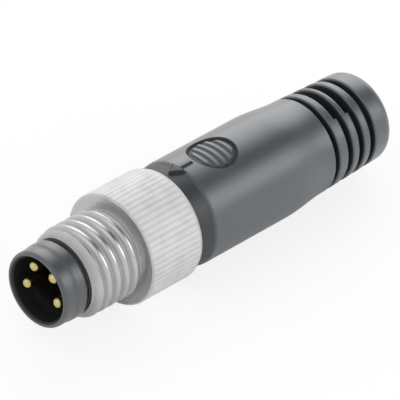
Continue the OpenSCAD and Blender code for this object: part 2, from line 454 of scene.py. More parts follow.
@dataclass(frozen=True)
class NickelFinish:
    """Satin nickel over turned brass: fine rings from turning, fine axial lines on the knurl.

    The clouds vary the gloss and lay faint smudges. The attribute "depth" paints shade into the roots
    of the thread and the valleys of the knurl, towards the same dark tone as the smudges. The tones are
    linear, the "per_m" fields count grains in a metre, and the "gloss" fields say how far each pattern
    moves the roughness.
    """

    tone: Tone = (0.6, 0.6, 0.595)
    shade_and_smudge_tone: Tone = (0.34, 0.34, 0.33)
    grip_tone: Tone = (0.835, 0.835, 0.83)
    roughness: float = 0.29
    grip_roughness: float = 0.75
    ring_per_m: float = 26000.0
    ring_depth_mm: float = 0.0018
    line_per_m: float = 9000.0
    along_line_per_m: float = 300.0
    cloud_per_m: float = 700.0
    smudge: float = 0.12
    smudge_from: float = 0.4
    smudge_full: float = 0.8
    least_root_shade: float = 0.75
    cloud_root_shade: float = 0.5
    grain_gloss: float = 0.16
    cloud_gloss: float = 0.12
    root_gloss: float = 0.1

    def material(self) -> bpy.types.Material:
        """Builds the metal."""
        material, nodes, shader = new_material(Slot.NICKEL)
        place = nodes.object_coordinates()
        x, y, z = nodes.split(place)
        radius = (y * y + z * z) ** 0.5
        rings = nodes.noise(nodes.join(x * self.ring_per_m, radius * self.ring_per_m, 0.0), detail=3.0)
        lines = nodes.scaled(place, self.along_line_per_m, self.line_per_m, self.line_per_m)
        lines = nodes.noise(lines, detail=3.0)
        clouds = nodes.noise(nodes.scaled(place, self.cloud_per_m), detail=3.0)
        grip, depth = nodes.attribute("grip"), nodes.attribute("depth")
        grain = rings * (1 - grip) + lines * grip
        # painted shade in the thread's roots and the knurl's valleys, from "depth", plus real smudges from
        # the clouds
        smudge_and_root_shade = depth * (self.least_root_shade + self.cloud_root_shade * clouds)
        smudge_and_root_shade = smudge_and_root_shade + clouds.rise(self.smudge_from, self.smudge_full) * self.smudge
        clean = nodes.mixed(grip, self.tone, self.grip_tone)
        gloss = self.roughness + grip * (self.grip_roughness - self.roughness)
        gloss = gloss + (grain - 0.5) * self.grain_gloss + (clouds - 0.5) * self.cloud_gloss
        nodes.feed(shader, {"Base Color": nodes.mixed(smudge_and_root_shade, clean, self.shade_and_smudge_tone),
                            "Roughness": gloss + depth * self.root_gloss,
                            "Normal": nodes.bump(grain, self.ring_depth_mm),
                            "Metallic": 1.0})
        return material


@dataclass(frozen=True)
class GoldFinish:
    """Thin bright gold over turned brass, with fine rings from turning and paler worn clouds."""

    tone: Tone = (0.6, 0.47, 0.16)
    worn_tone: Tone = (0.66, 0.56, 0.28)
    roughness: float = 0.24
    ring_per_m: float = 30000.0
    ring_depth_mm: float = 0.001
    cloud_per_m: float = 2500.0
    ring_gloss: float = 0.12
    cloud_gloss: float = 0.08

    def material(self) -> bpy.types.Material:
        """Builds the metal."""
        material, nodes, shader = new_material(Slot.GOLD)
        place = nodes.object_coordinates()
        x, _, _ = nodes.split(place)
        rings = nodes.noise(nodes.join(x * self.ring_per_m, 0.0, 0.0), detail=2.0)
        clouds = nodes.noise(nodes.scaled(place, self.cloud_per_m), detail=2.0)
        gloss = self.roughness + (rings - 0.5) * self.ring_gloss + (clouds - 0.5) * self.cloud_gloss
        nodes.feed(shader, {"Base Color": nodes.mixed(clouds, self.tone, self.worn_tone),
                            "Roughness": gloss,
                            "Normal": nodes.bump(rings, self.ring_depth_mm),
                            "Metallic": 1.0})
        return material


@dataclass(frozen=True)
class MouldedFinish:
    """A moulded plastic: spark-eroded grain, faint flow clouds, a glossy skin, darker and duller recesses.

    The spread is how far grain and clouds move the tone, and uneven how far each moves the roughness.
    The darker recesses are painted shade.
    """

    slot: Slot
    tone: Tone
    roughness: float
    grain_per_m: float = 9000.0
    grain_depth_mm: float = 0.006
    cloud_per_m: float = 300.0
    cloud_share: float = 0.9
    grain_share: float = 0.5
    spread: float = 0.15
    uneven: float = 0.1
    recess_shade_share: float = 0.0
    recess_shade_factor: float = 0.3
    recess_dull: float = 0.2
    skin: float = 0.0
    skin_ior: float = 1.75

    def recess(self, nodes: Nodes, place: bpy.types.NodeSocket) -> Value:
        """Share from 0 to 1 of recesses, from the piece's own attribute."""
        # the attribute holds the painted shade of the recesses
        return nodes.attribute("recess")

    def flecked(self, nodes: Nodes, share: Value, factor: float) -> bpy.types.NodeSocket:
        """The tone times a factor, a little darker at share 0 and lighter at share 1."""
        low, high = shade(self.tone, (1 - self.spread) * factor), shade(self.tone, (1 + self.spread) * factor)
        return nodes.mixed(share, low, high)

    def material(self) -> bpy.types.Material:
        """Builds the plastic."""
        material, nodes, shader = new_material(self.slot)
        place = nodes.object_coordinates()
        grain = nodes.noise(nodes.scaled(place, self.grain_per_m), detail=4.0)
        clouds = nodes.noise(nodes.scaled(place, self.cloud_per_m), detail=3.0)
        share = (clouds - 0.5) * self.cloud_share + (grain - 0.5) * self.grain_share + 0.5
        colour = self.flecked(nodes, share, 1.0)
        gloss = self.roughness + (clouds - 0.5) * self.uneven + (grain - 0.5) * self.uneven
        # painted shade: recesses take a darker copy of the tone, and also lose the skin and turn duller
        if self.recess_shade_share > 0:
            recess = self.recess(nodes, place) * self.recess_shade_share
            colour = nodes.mixed(recess, colour, self.flecked(nodes, share, self.recess_shade_factor))
            gloss = gloss + recess * self.recess_dull
            nodes.feed(shader, {"Coat Weight": (1 - recess) * self.skin})
        nodes.feed(shader, {"Base Color": colour, "Roughness": gloss,
                            "Normal": nodes.bump(grain, self.grain_depth_mm),
                            "Coat IOR": self.skin_ior, "Coat Roughness": self.roughness})
        return material


@dataclass(frozen=True)
class CupFinish(MouldedFinish):
    """The carrier's plastic, which lies in the dark inside the cup."""

    # painted shade inside the cup: full up to this radius, gone over rim_fade more
    shade_r: float = 2.97
    rim_fade: float = 0.12

    def recess(self, nodes: Nodes, place: bpy.types.NodeSocket) -> Value:
        """1 within the cup's mouth, fading to 0 over its rim, from the distance to the axis."""
        _, y, z = nodes.split(place)
        # painted shade: 1 inside the mouth, fading to 0 over the rim
        return 1 - ((y * y + z * z) ** 0.5).rise(self.shade_r * MM, (self.shade_r + self.rim_fade) * MM)


# ---- Pieces ----

def dress(piece: bpy.types.Object, material: bpy.types.Material, body: Body, slot: Slot, *nodes: str) -> None:
    """Gives a new piece what the frame needs of it, and reports it.

    Args:
        piece: The piece.
        material: Its only material.
        body: CAD body that it rides on.
        slot: Record slot of its material; not used.
        nodes: CAD nodes that it stands for.
    """
    piece.data.materials.clear()
    piece.data.materials.append(material)
    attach(piece, body.value)
    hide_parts(*nodes)
    LOG.info("%s: %d faces on %s", piece.name, len(piece.data.polygons), body.value)


@dataclass
class CouplingScrew:
    """Turned coupling screw with a right-hand M8 thread and a straight-knurled grip, in mm.

    The rounds are those of the outline's corners, the blends those of the thread. The margins keep the
    bores and the end faces out of the thread's and the knurl's zones. The last two fields are the painted
    shade, from 0 to 1, at the bottom of the thread and of the knurl.
    """

    thread_r: float = 3.97
    pitch: float = 1.0
    thread_start: float = 0.0
    thread_chamfer: float = 0.5
    worn_start: float = 0.4
    crest_half: float = 0.17
    thread_h: float = 0.42
    flank_angle: float = 60.0
    crest_blend: float = 0.12
    root_blend: float = 0.1
    runout_x: float = 4.35
    grip_x: float = 5.05
    grip_r: float = 4.95
    grip_chamfer: float = 0.15
    rear_bevel: float = 0.2
    shank_bore_r: float = 3.10
    grip_bore_r: float = 4.20
    shoulder_depth: float = 0.3
    teeth: int = 60
    per_tooth: int = 8
    knurl_depth: float = 0.02
    sharp_round: float = 0.04
    edge_round: float = 0.05
    root_round: float = 0.06
    bevel_round: float = 0.08
    worn_round: float = 0.1
    cut_blend: float = 0.02
    front_margin: float = 0.005
    grip_margin: float = 0.01
    face_margin: float = 0.02
    bore_margin: float = 0.06
    runout_margin: float = 0.1
    wall_margin: float = 0.3
    fine_stretch: float = 0.049
    coarse_stretch: float = 1.3
    thread_root_shade: float = 0.6
    knurl_root_shade: float = 0.2

    @property
    def root_r(self) -> float:
        """Radius at the filled root of the thread."""
        return self.thread_r - self.thread_h

    def outline(self) -> Array:
        """Closed outline: from the bore's mouth over the thread and the grip, back through the bore."""
        front, rear = axial_span("coupling_screw")
        shoulder = self.grip_x + self.shoulder_depth
        drop = self.thread_r - self.root_r
        bevel = self.rear_bevel
        corners = [
            (front, self.shank_bore_r, self.edge_round),
            (front, self.thread_r - self.thread_chamfer, self.sharp_round),
            (self.thread_start + self.worn_start, self.thread_r, self.worn_round),
            (self.runout_x, self.thread_r, self.sharp_round),
            (self.runout_x + drop, self.root_r, self.root_round),
            (self.grip_x, self.root_r, self.root_round),
            (self.grip_x, self.grip_r - self.grip_chamfer, self.sharp_round),
            (self.grip_x + self.grip_chamfer, self.grip_r, self.sharp_round),
            (rear - 2 * bevel, self.grip_r, self.bevel_round),
            (rear, self.grip_r - bevel, self.edge_round),
            (rear, self.grip_bore_r, self.edge_round),
            (shoulder, self.grip_bore_r, 0.0),
            (shoulder, self.shank_bore_r, 0.0),
        ]

        def spacing(place: Array) -> Array:
            """Fine over the thread, coarse elsewhere."""
            x, r = place[:, 0], place[:, 1]
            threaded = (x > front + self.front_margin) & (x < self.grip_x - self.face_margin)
            threaded &= r > self.shank_bore_r + self.bore_margin
            return np.where(threaded, self.fine_stretch, self.coarse_stretch)

        return subdivided(rounded(corners, closed=True), spacing)

    def angles(self) -> Array:
        """Even angles, the same number for each tooth, from the middle of a valley."""
        count = self.per_tooth * self.teeth
        return np.arange(count) * (2 * np.pi / count) + np.pi

    def thread_depth(self, x: Array, angle: Array) -> Array:
        """Depth of the right-hand thread below its crest.

        The distance d to the middle of the nearest crest is taken along the axis from a helix that moves
        one pitch a turn. The flank falls at its angle from half the width of the rolled crest off that
        middle, down to the filled root, with both ends rounded.

        Args:
            x: Stations in mm.
            angle: Angles in radians.

        Returns:
            The depths in mm.
        """
        turns = (x - self.thread_start) / self.pitch + angle / (2 * np.pi)
        d = np.abs(turns - np.round(turns)) * self.pitch
        flank = (d - self.crest_half) * math.tan(math.radians(self.flank_angle))
        falling = -soft_min(-flank, np.zeros_like(flank), self.crest_blend)
        return soft_min(falling, np.full_like(flank, self.thread_h), self.root_blend)

    def knurl_cut(self, angle: Array) -> Array:
        """Depth of the knurl: even waves, half the depth times 1 + cos, the first valley straight down."""
        return self.knurl_depth * (1 + np.cos((angle - np.pi) * self.teeth)) / 2

    def mesh(self) -> bpy.types.Mesh:
        """The turned blank with the thread and the knurl cut into it.

        The attribute "grip" is 1 on the knurl, and "depth", a painted shade, grows from 0 on the crests to
        its full share at the bottom of the thread and of the knurl.
        """
        outline, angles = self.outline(), self.angles()
        front, _ = axial_span("coupling_screw")
        x = np.repeat(outline[:, :1], angles.size, axis=1)
        blank = np.repeat(outline[:, 1:], angles.size, axis=1)
        outside = blank > self.shank_bore_r + self.bore_margin
        threaded = outside & (x < self.grip_x - self.face_margin) & (x > front + self.front_margin)
        cut = self.thread_r - self.thread_depth(x, angles)
        r = np.where(threaded, soft_min(blank, cut, self.cut_blend), blank)
        gripped = (x > self.grip_x + self.grip_margin) & (blank > self.grip_bore_r + self.wall_margin)
        r = np.where(gripped, np.minimum(r, self.grip_r - self.knurl_cut(angles)), r)
        # painted shade: darker towards the bottom of the thread and of the knurl
        thread_share = np.clip((self.thread_r - r) / self.thread_h, 0, 1) ** 1.5
        knurl_share = np.clip((self.grip_r - r) / self.knurl_depth, 0, 1) ** 2
        grooved = threaded & (x < self.runout_x + self.runout_margin)
        depth = np.where(grooved, self.thread_root_shade * thread_share, 0.0)
        depth = np.where(gripped, self.knurl_root_shade * knurl_share, depth)
        values = {"grip": gripped * 1.0, "depth": depth}
        return turned_mesh("coupling_screw_turned", x, r, angles, True, values)

    def build(self, finish: NickelFinish) -> None:
        """Adds the screw."""
        piece = add_object("coupling_screw_turned", self.mesh())
        dress(piece, finish.material(), Body.SCREW, Slot.NICKEL, "coupling_screw")


@dataclass
class ContactPins:
    """Four turned pins on a circle with one of five places empty, in mm."""

    angles: tuple[float, ...] = (-108.0, -36.0, 36.0, 108.0)
    circle_r: float = 1.875
    pin_r: float = 0.5
    tip_round: float = 0.4
    shank_r: float = 0.65
    ring_r: float = 0.75
    ring_x: float = 3.93
    ring_l: float = 0.4
    floor_x: float = 2.73
    shank_rear: float = 7.35
    cup_r: float = 0.8
    cup_round: float = 0.04
    cup_bore_r: float = 0.5
    cup_bore_l: float = 2.4
    columns: int = 48

    def outline(self, bored: bool) -> Array:
        """Outline of one pin: a tip of a quarter circle, the shank with its ring, and the solder cup.

        Args:
            bored: False leaves the cup's bore out.

        Returns:
            (x, radius) points in mm, from the axis at the tip to the axis at the rear.
        """
        tip, rear = axial_span("contact_pin_1")
        quarter = np.linspace(0, np.pi / 2, 9)
        flat = self.pin_r - self.tip_round
        nose = [(tip + self.tip_round * (1 - math.cos(a)), flat + self.tip_round * math.sin(a), 0.0)
                for a in quarter]
        ring_rear, bore_floor = self.ring_x + self.ring_l, rear - self.cup_bore_l
        corners = [(tip, 0.0, 0.0), *nose,
                   (self.floor_x, self.pin_r, 0.0),
                   (self.floor_x, self.shank_r, 0.0),
                   (self.ring_x, self.shank_r, 0.0),
                   (self.ring_x, self.ring_r, 0.0),
                   (ring_rear, self.ring_r, 0.0),
                   (ring_rear, self.shank_r, 0.0),
                   (self.shank_rear, self.shank_r, 0.0),
                   (self.shank_rear, self.cup_r, self.cup_round),
                   (rear, self.cup_r, self.cup_round)]
        if bored:
            corners += [(rear, self.cup_bore_r, self.cup_round), (bore_floor, self.cup_bore_r, 0.0),
                        (bore_floor, 0.0, 0.0)]
        else:
            corners += [(rear, 0.0, 0.0)]
        return rounded(corners, closed=False, steps=3)

    def meshes(self, name: str, bored: bool) -> list[bpy.types.Mesh]:
        """The meshes of all pins, each in its place on the circle, counted from +Z towards +Y.

        Args:
            name: Name with a {} for the number.
            bored: False leaves the solder cups' bores out.

        Returns:
            One mesh for each angle.
        """
        made = []
        for index, angle in enumerate(self.angles):
            mesh = plain_turned(name.format(index + 1), self.outline(bored), self.columns)
            turn = math.radians(angle)
            points = np.empty(len(mesh.vertices) * 3)
            mesh.vertices.foreach_get("co", points)
            shift = np.array([0.0, math.sin(turn), math.cos(turn)]) * self.circle_r * MM
            mesh.vertices.foreach_set("co", (points.reshape(-1, 3) + shift).ravel())
            mesh.update()
            made.append(mesh)
        return made

    def cutters(self) -> list[bpy.types.Object]:
        """Unbored pins that make the bores in the carrier."""
        return [add_object(mesh.name, mesh) for mesh in self.meshes("pin_bore_{}", bored=False)]

    def build(self, finish: GoldFinish) -> None:
        """Adds the pins."""
        material = finish.material()
        for index, mesh in enumerate(self.meshes("contact_pin_{}_turned", bored=True)):
            piece = add_object(mesh.name, mesh)
            dress(piece, material, Body.PLUG, Slot.GOLD, f"contact_pin_{index + 1}")


@dataclass
class ContactCarrier:
    """Moulded insulator with its collar, cup, shank and anchor, in mm."""

    front_r: float = 3.37
    band_r: float = 3.44
    band_l: float = 1.0
    band_lead: float = 0.2
    band_run: float = 0.15
    step: float = 0.07
    rim_back: float = 0.1
    rim_round: float = 0.4
    rim_crown: float = 0.22
    groove_front: float = -0.97
    shank_r: float = 3.05
    shank_rear: float = 5.45
    anchor_r: float = 2.75
    rib_x: float = 6.05
    rib_l: float = 0.6
    mouth_r: float = 2.86
    mouth_l: float = 1.9
    ledge_half: float = 0.35
    mouth_chamfer: float = 0.22
    cup_r: float = 2.7
    cup_floor: float = 2.73
    edge_round: float = 0.03
    mouth_round: float = 0.05
    floor_round: float = 0.12
    soft_round: float = 0.2
    columns: int = 192

    def outline(self) -> Array:
        """Outline from the middle of the cup's floor over the collar to the middle of the rear face.

        The rim is a quarter of an ellipse, longer along the axis than across it.
        """
        nose, rear = axial_span("contact_carrier")
        nose += self.rim_back
        band = self.groove_front - self.band_l
        ledge = nose + self.mouth_l
        rim = [(nose + self.rim_round * (1 - math.sin(a)),
                self.front_r - self.rim_crown * (1 - math.cos(a)), 0.0)
               for a in np.linspace(math.pi / 2, 0.0, 10)]
        corners = [
            (self.cup_floor, 0.0, 0.0),
            (self.cup_floor, self.cup_r, self.floor_round),
            (ledge + self.ledge_half, self.cup_r, self.soft_round),
            (ledge - self.ledge_half, self.mouth_r, self.soft_round),
            (nose + self.mouth_chamfer, self.mouth_r, self.mouth_round),
            (nose, self.mouth_r + self.mouth_chamfer, self.edge_round),
            *rim,
            (band - self.band_lead, self.front_r, self.soft_round),
            (band + self.band_run, self.band_r, self.soft_round),
            (self.groove_front - self.step, self.band_r, self.edge_round),
            (self.groove_front, self.band_r - self.step, self.edge_round),
            (self.groove_front, self.shank_r, self.edge_round),
            (self.shank_rear, self.shank_r, 0.0),
            (self.shank_rear, self.anchor_r, 0.0),
            (self.rib_x, self.anchor_r, 0.0),
            (self.rib_x, self.shank_r, 0.0),
            (self.rib_x + self.rib_l, self.shank_r, 0.0),
            (self.rib_x + self.rib_l, self.anchor_r, 0.0),
            (rear, self.anchor_r, 0.0),
            (rear, 0.0, 0.0),
        ]
        return rounded(corners, closed=False, steps=6)

    def build(self, finish: MouldedFinish, pins: ContactPins) -> None:
        """Adds the carrier, with the pins' bores cut into it.

        Args:
            finish: Its plastic.
            pins: The pins, whose unbored shapes are taken away.
        """
        name = "contact_carrier_moulded"
        piece = add_object(name, plain_turned(name, self.outline(), self.columns))
        cutters = pins.cutters()
        for cutter in cutters:
            cut = piece.modifiers.new(cutter.name, "BOOLEAN")
            cut.object, cut.operation, cut.solver = cutter, "DIFFERENCE", "EXACT"
        bored = bpy.data.meshes.new_from_object(piece.evaluated_get(bpy.context.evaluated_depsgraph_get()))
        piece.modifiers.clear()
        piece.data = bored
        bored.name = name
        for cutter in cutters:
            bpy.data.meshes.remove(cutter.data)
        bored.shade_smooth()
        bored.set_sharp_from_angle(angle=SHARP_EDGE)
        dress(piece, finish.material(), Body.PLUG, Slot.INSULATOR, "contact_carrier")


@dataclass
class SurfaceMarks:
    """Marks on the top of the grip body, in mm: a raised keying arrow, and a round recess with grip ribs.

    In every method x is a station along the axis, and across is the distance from the top line, measured
    round the surface.
    """

    soft: float = 0.05
    step: float = 0.04
    foot: float = 0.16
    rim_foot: float = 0.26
    full_share: float = 0.4
    margin: float = 0.3
    arrow_h: float = 0.2
    tip_x: float = 11.45
    head_l: float = 1.15
    head_half: float = 0.62
    shaft_l: float = 1.35
    shaft_half: float = 0.14
    overlap: float = 0.1
    recess_x: float = 16.5
    recess_r: float = 2.1
    recess_depth: float = 0.2
    floor_shade: float = 0.6
    ribs: int = 5
    rib_pitch: float = 0.72
    rib_half: float = 0.17
    rib_margin: float = 0.35
    rib_h: float = 0.14

    def inside(self, distance: Array) -> Array:
        """Share from 0 to 1 of a shape, from the signed distance to its edge (negative inside)."""
        return 1 - smooth_step(-self.soft, self.soft, distance)

    def arrow_edge(self, x: Array, across: Array) -> Array:
        """Signed distance to the arrow's edge, negative on the arrow.

        The head is where its base line and its two slanting sides all lie behind the point. The shaft is
        a box: the larger of the two distances to its middle lines, less half its length or width. It
        reaches a little way into the head.

        Args:
            x: Stations.
            across: Distances from the top line.

        Returns:
            The distances in mm.
        """
        side = np.abs(across)
        slant = math.hypot(self.head_l, self.head_half)
        edge = (side * self.head_l - (x - self.tip_x) * self.head_half) / slant
        head = np.maximum(edge, x - self.tip_x - self.head_l)
        middle = self.tip_x + self.head_l + (self.shaft_l - self.overlap) / 2
        shaft = np.maximum(np.abs(x - middle) - self.shaft_l / 2 - self.overlap / 2, side - self.shaft_half)
        return np.minimum(head, shaft)

    def rim_edge(self, x: Array, across: Array) -> Array:
        """Signed distance to the edge of the round recess."""
        return np.hypot(x - self.recess_x, across) - self.recess_r

    def rib_edge(self, x: Array, across: Array) -> Array:
        """Signed distance to the ribs' edges: strips across the disc that stop short of its edge.

        Args:
            x: Stations.
            across: Distances from the top line.

        Returns:
            The distances in mm.
        """
        along, most = x - self.recess_x, self.ribs // 2
        nearest = np.clip(np.round(along / self.rib_pitch), -most, most) * self.rib_pitch
        return np.maximum(np.abs(along - nearest) - self.rib_half, self.rim_edge(x, across) + self.rib_margin)

    def recess(self, x: Array, across: Array) -> Array:
        """Depth below the barrel: a disc, less its ribs."""
        disc = self.inside(self.rim_edge(x, across))
        return self.recess_depth * disc - self.rib_h * self.inside(self.rib_edge(x, across))

    def painted_shade(self, x: Array, across: Array) -> Array:
        """Darkness from 0 to 1: full in the corners round the marks, less on the recess's floor.

        The darkness is painted shade. A corner is full up to a share of its foot's width and falls to 0 at
        the whole width. That is counted from a line a third of the width outside the arrow's edge, or
        inside the recess's.

        Args:
            x: Stations.
            across: Distances from the top line.

        Returns:
            The larger of the two shades at each place.
        """
        # painted shade in the corners round the marks and on the recess's floor between the ribs
        rim = self.rim_edge(x, across)
        corner = np.minimum(np.abs(self.arrow_edge(x, across) - self.foot / 3) / self.foot,
                            np.abs(rim + self.rim_foot / 3) / self.rim_foot)
        floor = self.floor_shade * self.inside(rim) * (1 - self.inside(self.rib_edge(x, across)))
        return np.maximum(1 - smooth_step(self.full_share, 1.0, corner), floor)

    def stations(self) -> Array:
        """Stations that the mesh needs to follow the marks."""
        rear = self.recess_x + self.recess_r + self.margin
        return np.arange(self.tip_x - self.margin, rear, self.step)

    @property
    def reach(self) -> float:
        """How far round the surface the marks go to either side."""
        return self.recess_r + self.margin


@dataclass
class GripBody:
    """Soft outer moulding: neck, barrel, taper and slotted bend relief, in mm and degrees.

    The grooves are stations of their middles behind the start of the relief, and slotted numbers those
    that widen into slots at the top and at the bottom. The neck's painted shade goes from 0 to 1. The
    painted shade of a groove or slot grows from 0 at shade_start below the surface to 1 over
    shade_depth. The margins tell the outside, the grooves and the bores apart.
    """

    marks: SurfaceMarks
    neck_r: float = 4.58
    neck_l: float = 1.6
    step_l: float = 0.3
    barrel_r: float = 4.675
    barrel_l: float = 9.8
    taper_l: float = 4.9
    relief_front_r: float = 4.3
    relief_rear_r: float = 4.05
    rear_round: float = 1.0
    bore_r: float = 2.2
    tail_r: float = 3.5
    tail_rear: float = 16.53
    rib_half: float = 0.45
    rib_r: float = 3.85
    groove_w: float = 0.6
    groove_floor: float = 3.45
    floor_round: float = 0.06
    front_round: float = 0.07
    bore_round: float = 0.08
    lip_round: float = 0.2
    grooves: tuple[float, ...] = (0.3, 2.01, 3.42, 4.83)
    slotted: tuple[int, ...] = (1, 2)
    slot_w: float = 0.88
    slot_floor: float = 2.7
    slot_half_angle: float = 35.0
    slot_end_half: float = 0.08
    neck_shade: float = 0.75
    shade_start: float = 0.02
    shade_depth: float = 0.3
    skin_margin: float = 0.02
    groove_margin: float = 0.1
    front_margin: float = 0.2
    wall_margin: float = 0.3

    def joints(self) -> tuple[float, float, float, float, float]:
        """Stations of the front, the barrel's start, the taper's start, the relief's start and the rear."""
        front, rear = axial_span("grip_body")
        barrel = front + self.neck_l
        taper = barrel + self.barrel_l
        return front, barrel, taper, taper + self.taper_l, rear

    def corners(self, slots: bool) -> list[Corner]:
        """Corners of the closed outline.

        The neck rises to the barrel along a smooth step. The taper falls along half a wave,
        (1 - cos(pi u)) / 2, and the rear edge is a quarter circle.

        Args:
            slots: True puts the slots in the places of their ring grooves. The number of corners stays.

        Returns:
            (x, radius, round) of each corner, from the front over the outside and back through the bore.
        """
        front, barrel, taper, relief, rear = self.joints()
        found: list[Corner] = [(front, self.tail_r, 0.0), (front, self.neck_r, self.front_round)]
        stations = np.unique(np.round(self.marks.stations(), 4))
        rise = smooth_step(barrel - self.step_l, barrel + self.step_l, stations)
        found += [(x, self.neck_r + (self.barrel_r - self.neck_r) * u, 0.0) for x, u in zip(stations, rise)]
        found += [(taper, self.barrel_r, 0.0)]
        for u in np.linspace(0, 1, 17)[1:]:
            fall = (1 - math.cos(math.pi * u)) / 2
            r = self.barrel_r + (self.relief_front_r - self.barrel_r) * fall
            found.append((taper + self.taper_l * u, r, 0.0))
        for index, offset in enumerate(self.grooves):
            end = relief + offset + self.groove_w / 2
            wide = slots and index in self.slotted
            start = end - (self.slot_w if wide else self.groove_w)
            floor = self.slot_floor if wide else self.groove_floor
            found += [(start, self.relief_r(start), self.lip_round), (start, floor, self.floor_round),
                      (end, floor, self.floor_round), (end, self.relief_r(end), self.lip_round)]
        found += [(rear - self.rear_round, self.relief_rear_r, 0.0)]
        for a in np.linspace(0, math.pi / 2, 9)[1:]:
            found.append((rear - self.rear_round * (1 - math.sin(a)),
                          self.relief_rear_r - self.rear_round * (1 - math.cos(a)), 0.0))
        found += [(rear, self.bore_r, self.bore_round), (self.tail_rear, self.bore_r, 0.0),
                  (self.tail_rear, self.tail_r, 0.0)]
        return found

    def relief_r(self, x: float | Array) -> float | Array:
        """Radius of the bend relief, which tapers evenly from its start to its rear edge.

        Args:
            x: Stations in mm.

        Returns:
            The radii in mm.
        """
        *_, relief, rear = self.joints()
        share = (x - relief) / (rear - self.rear_round - relief)
        return self.relief_front_r + (self.relief_rear_r - self.relief_front_r) * share

    def angles(self) -> Array:
        """Angles in degrees: fine over the marks and at the ends of the slots, coarse elsewhere.

        Each end of a slot is a wall between two close columns, and the next ones lie clear of it.
        """
        reach = math.degrees(self.marks.reach / self.barrel_r)
        fine = np.arange(0.0, reach, math.degrees(self.marks.step / self.barrel_r))
        ends = self.slot_half_angle + self.slot_end_half * np.array([-1.0, 1.0])
        inner, outer = self.slot_half_angle - 1.0, self.slot_half_angle + 1.5
        side = np.linspace(reach + 0.8, inner, 6)
        around = np.linspace(outer, 90.0, 22)
        below = np.concatenate([np.linspace(0.0, inner, 14), ends, np.linspace(outer, 87.5, 22)])
        half = np.concatenate([fine, side, ends, around, 180.0 - below])
        return np.unique(np.round(np.concatenate([half, -half]), 4) % 360.0)

    def mesh(self) -> bpy.types.Mesh:
        """The moulding.

        Two outlines with the same number of points, with and without slots, are turned together: each
        column takes the one that holds at its angle. The marks are then raised and sunk on the top, and
        the ribs of the tail are sunk into the cavity. The attribute "recess" is painted shade: it grows
        with the depth below the relief's surface, and is set on the neck and by the marks.
        """
        plain = rounded(self.corners(slots=False), closed=True)
        slotted = rounded(self.corners(slots=True), closed=True)
        degrees = self.angles()
        turn = (degrees + 90.0) % 180.0 - 90.0
        in_slot = (np.abs(turn) < self.slot_half_angle)[None, :]
        x = np.where(in_slot, slotted[:, :1], plain[:, :1])
        r = np.where(in_slot, slotted[:, 1:], plain[:, 1:])
        from_top = (degrees + 180.0) % 360.0 - 180.0
        across = np.radians(from_top)[None, :] * self.barrel_r
        front, barrel, taper, relief, rear = self.joints()
        outside = (r > self.neck_r - self.skin_margin) & (x > front + self.front_margin) & (x < taper)
        on_barrel = outside & (r > self.barrel_r - self.skin_margin)
        sunk = np.where(on_barrel, self.marks.recess(x, across), 0.0)
        raised = np.where(outside, self.marks.inside(self.marks.arrow_edge(x, across)), 0.0)
        # painted shade in the grooves and slots, on the neck and round the marks, carried by "recess"
        grooved = (x > relief - self.groove_margin) & (x < rear - self.rear_round)
        grooved &= r > self.bore_r + self.wall_margin
        on_neck = 1 - smooth_step(barrel - self.step_l, barrel + self.step_l, x)
        neck = (r > self.tail_r + self.wall_margin) * self.neck_shade * on_neck
        deep = np.clip((self.relief_r(x) - r - self.shade_start) / self.shade_depth, 0, 1)
        recess = np.where(grooved, deep, neck)
        recess = np.where(outside, np.maximum(recess, self.marks.painted_shade(x, across)), recess)
        r = r - sunk + raised * (self.barrel_r + self.marks.arrow_h - r)
        angles = np.radians(degrees)
        r = self.with_ribs(x, r, angles)
        return turned_mesh("grip_body_moulded", x, r, angles, True, {"recess": recess})

    def with_ribs(self, x: Array, r: Array, angles: Array) -> Array:
        """Widens the cavity where the six ribs of the inner moulding's tail sit.

        A rib's flat top lies at rib_r / cos of the angle off its middle, as far as half its width.

        Args:
            x: Stations in mm.
            r: Radii in mm, in the same layout.
            angles: Angles of the columns, in radians.

        Returns:
            The new radii.
        """
        sixth = np.pi / 3
        off = (angles + sixth / 2) % sixth - sixth / 2
        in_rib = np.abs(np.sin(off)) * self.rib_r < self.rib_half
        wide = np.where(in_rib, self.rib_r / np.cos(off), self.tail_r)
        front, *_ = self.joints()
        cavity = (np.abs(r - self.tail_r) < NEAR) & (x < self.tail_rear + NEAR) & (x > front - NEAR)
        return np.where(cavity, wide[None, :], r)

    def build(self, finish: MouldedFinish) -> None:
        """Adds the grip body."""
        piece = add_object("grip_body_moulded", self.mesh())
        dress(piece, finish.material(), Body.PLUG, Slot.SOFT_MOULDING, "grip_body")


@dataclass
class InnerMoulding:
    """The CAD node that the other pieces hide. It keeps its mesh and gets its finish."""

    node: str = "inner_moulding"

    def build(self, finish: MouldedFinish) -> None:
        """Dresses the node.

        Args:
            finish: Its plastic.
        """
        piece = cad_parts[self.node]
        piece.data.materials.clear()
        piece.data.materials.append(finish.material())
        LOG.info("%s: dressed", piece.name)


# ---- Studio ----

def direction(azimuth: float, elevation: float) -> Vector:
    """Unit vector to a place seen from the object: azimuth 0 lies on the -Y side, 90 on the +X side."""
    turn, rise = math.radians(azimuth), math.radians(elevation)
    return Vector((math.sin(turn) * math.cos(rise), -math.cos(turn) * math.cos(rise), math.sin(rise)))


@dataclass(frozen=True)
class Softbox:
    """A rectangular area lamp that faces the connector, in metres and degrees."""

    name: str
    azimuth: float
    elevation: float
    distance: float
    width: float
    height: float
    watts: float

    def build(self, target: Vector) -> None:
        """Hangs the lamp.

        Args:
            target: Place that it faces.
        """
        lamp = bpy.data.lights.new(self.name, "AREA")
        lamp.shape, lamp.size, lamp.size_y, lamp.energy = "RECTANGLE", self.width, self.height, self.watts
        holder = bpy.data.objects.new(self.name, lamp)
        bpy.context.collection.objects.link(holder)
        way = direction(self.azimuth, self.elevation)
        holder.location = target + way * self.distance
        holder.rotation_euler = way.to_track_quat("Z", "Y").to_euler()
        holder.visible_camera = False


